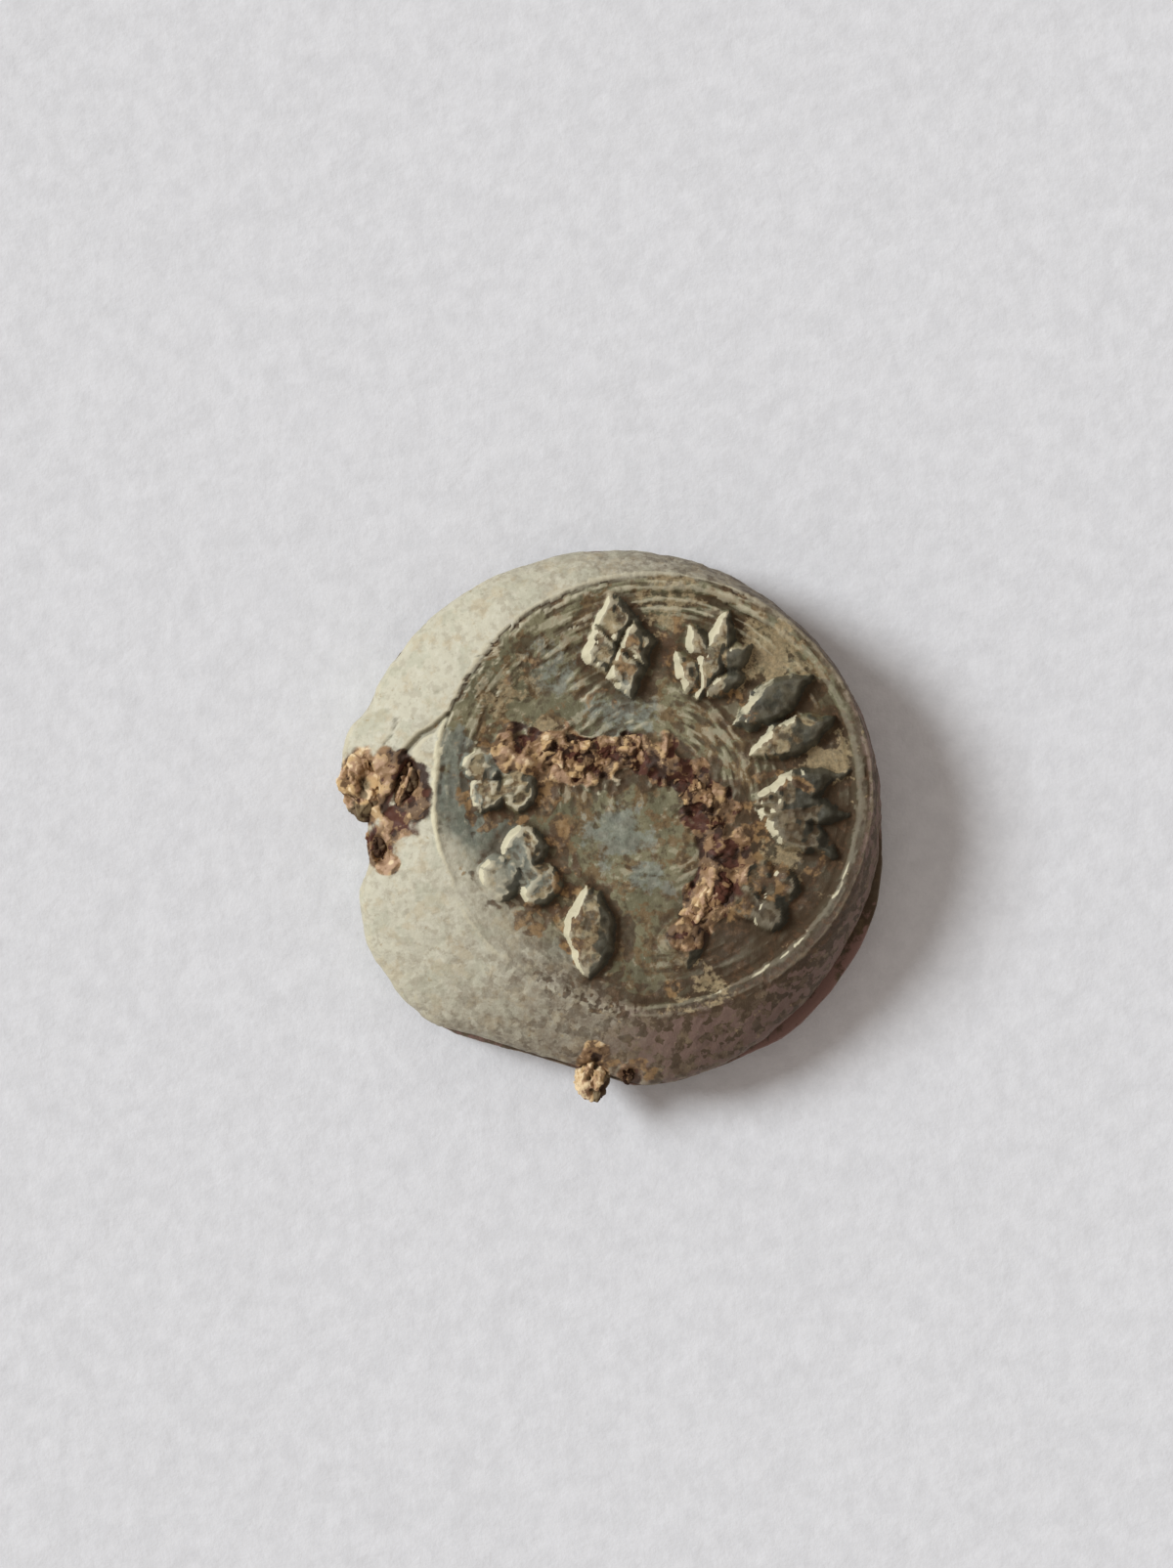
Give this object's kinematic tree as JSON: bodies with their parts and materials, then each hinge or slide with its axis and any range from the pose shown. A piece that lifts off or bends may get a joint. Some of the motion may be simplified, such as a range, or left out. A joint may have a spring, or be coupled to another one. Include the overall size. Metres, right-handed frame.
{
  "type": "lead seal",
  "caption": "Round two-disc lead wire seal with an off-centre struck field, a ring of raised ornaments and rusted wire stubs.",
  "frame": {"origin": "middle of the lead blank, on the flat back face that the seal rests on", "axes": "+Z from the back face to the struck face; +Y is up and +X is right when the struck face is seen from the front"},
  "size_m": [0.0225, 0.0228, 0.0047],
  "materials": {
    "front_lead": "dull grey-green lead with a pale buff patina, dark crevices and brown soil",
    "back_lead": "dull grey-brown lead, stained dark red by rust at the rim",
    "iron_wire": "rough corroded iron",
    "rust": "matte granular rust, orange-tan to maroon",
    "dark_rust": "matte dark red-brown rust"
  },
  "bodies": {
    "root": {"front_disc": "front_lead", "back_disc": "back_lead", "wire_long_strand": "iron_wire", "wire_short_strand": "iron_wire", "rust_lump_left_outer": "rust", "rust_lump_left_inner": "dark_rust", "rust_lump_left_small": "dark_rust", "rust_lump_bottom": "rust", "rust_flake_bottom": "dark_rust", "rust_ridge_upper": "rust", "rust_ridge_bend": "rust", "rust_ridge_lower": "rust"}
  },
  "joints": []
}
